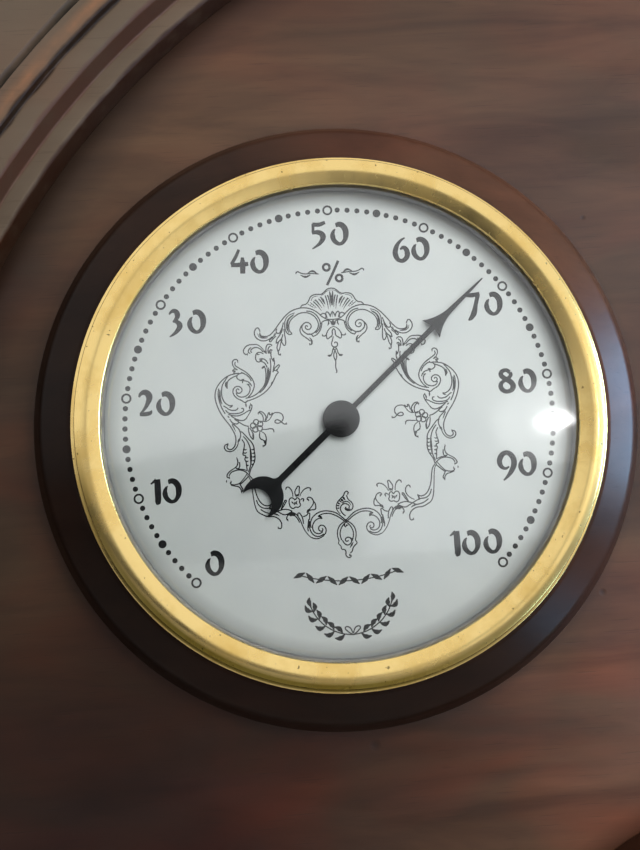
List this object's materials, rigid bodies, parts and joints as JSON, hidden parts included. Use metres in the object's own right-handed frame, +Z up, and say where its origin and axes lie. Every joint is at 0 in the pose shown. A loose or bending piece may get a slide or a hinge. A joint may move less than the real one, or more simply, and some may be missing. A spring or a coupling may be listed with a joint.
{
  "type": "weather station",
  "caption": "Round wooden wall weather station: a stepped rim round a board that carries hygrometer, thermometer and barometer dials with brass bezels in turned surrounds.",
  "frame": {"origin": "middle of the case's back, on the wall", "axes": "+Z up as it hangs, +X to the right as seen from the front, +Y into the wall; the dials look along -Y"},
  "size_m": [0.29, 0.0367, 0.29],
  "materials": {
    "board": "satin mahogany varnish",
    "rim": "satin mahogany varnish",
    "surround": "glossy dark mahogany varnish",
    "brass": "polished and lacquered",
    "glass": "clear",
    "dial": "satin silver-white",
    "spacer": "matte",
    "black": "glossy black",
    "steel": "plated",
    "coil": "satin strip",
    "rubber": "matte"
  },
  "bodies": {
    "case": {"case_board": "board", "rim_moulding": "rim", "hanger_plate": "steel", "hanger_screw_left": "steel", "hanger_screw_right": "steel", "hygrometer_surround": "surround", "hygrometer_bezel": "brass", "hygrometer_glass": "glass", "hygrometer_spacer_ring": "spacer", "hygrometer_dial": "dial", "hygrometer_dial_bush": "brass", "hygrometer_can": "steel", "hygrometer_grip_ring": "rubber", "thermometer_surround": "surround", "thermometer_bezel": "brass", "thermometer_glass": "glass", "thermometer_spacer_ring": "spacer", "thermometer_dial": "dial", "thermometer_dial_bush": "brass", "thermometer_can": "steel", "thermometer_grip_ring": "rubber", "barometer_surround": "surround", "barometer_bezel": "brass", "barometer_glass": "glass", "barometer_spacer_ring": "spacer", "barometer_dial": "dial", "barometer_dial_bush": "brass", "barometer_can": "steel", "barometer_grip_ring": "rubber", "barometer_base_plate": "brass", "barometer_capsule": "steel", "barometer_main_spring": "steel", "barometer_chain": "steel", "barometer_cock": "brass", "barometer_hairspring": "coil"},
    "hygrometer_adjuster": {"hygrometer_adjuster": "brass", "hygrometer_coil": "coil"},
    "hygrometer_pointer": {"hygrometer_arbor": "steel", "hygrometer_pointer": "black", "hygrometer_pointer_cap": "black"},
    "thermometer_adjuster": {"thermometer_adjuster": "brass", "thermometer_coil": "coil"},
    "thermometer_pointer": {"thermometer_arbor": "steel", "thermometer_pointer": "black", "thermometer_pointer_cap": "black"},
    "barometer_adjusting_screw": {"barometer_adjusting_screw": "brass"},
    "barometer_rocker": {"barometer_rocker": "brass"},
    "barometer_pointer": {"barometer_arbor": "steel", "barometer_pointer": "black", "barometer_pointer_cap": "black"},
    "barometer_set_hand": {"barometer_set_hand": "brass", "barometer_set_knob": "brass"}
  },
  "joints": [
    {"name": "hygrometer_adjust", "type": "hinge", "parent": "case", "child": "hygrometer_adjuster", "pos_m": [-0.0587, -0.01, 0.03389], "axis": [0, 1, 0], "range_deg": [-20, 20]},
    {"name": "hygrometer_needle", "type": "hinge", "parent": "hygrometer_adjuster", "child": "hygrometer_pointer", "pos_m": [-0.0587, -0.0295, 0.03389], "axis": [0, 1, 0], "range_deg": [-183.6, 86.4], "stiffness_Nm_per_rad": 0.0005},
    {"name": "thermometer_adjust", "type": "hinge", "parent": "case", "child": "thermometer_adjuster", "pos_m": [0.0587, -0.01, 0.03389], "axis": [0, 1, 0], "range_deg": [-20, 20]},
    {"name": "thermometer_needle", "type": "hinge", "parent": "thermometer_adjuster", "child": "thermometer_pointer", "pos_m": [0.0587, -0.0295, 0.03389], "axis": [0, 1, 0], "range_deg": [-158.14, 111.86], "stiffness_Nm_per_rad": 0.0005},
    {"name": "barometer_adjust", "type": "hinge", "parent": "case", "child": "barometer_adjusting_screw", "pos_m": [0, -0.003, -0.06778], "axis": [0, 1, 0], "range_deg": [-180, 180]},
    {"name": "barometer_needle", "type": "hinge", "parent": "case", "child": "barometer_pointer", "pos_m": [0, -0.0295, -0.06778], "axis": [0, 1, 0], "range_deg": [-143.1, 126.9], "stiffness_Nm_per_rad": 0.0005, "deforming": ["barometer_chain", "barometer_hairspring"]},
    {"name": "barometer_rocker_pivot", "type": "hinge", "parent": "case", "child": "barometer_rocker", "pos_m": [0.02, -0.012, -0.06778], "axis": [0, 0, 1], "range_deg": [-17.2, 15.3]},
    {"name": "barometer_set", "type": "hinge", "parent": "case", "child": "barometer_set_hand", "pos_m": [0, -0.0307, -0.06778], "axis": [0, 1, 0], "continuous": true}
  ],
  "couplings": [
    {"joint": "barometer_rocker_pivot", "follows": "barometer_needle", "ratio": 0.12}
  ]
}
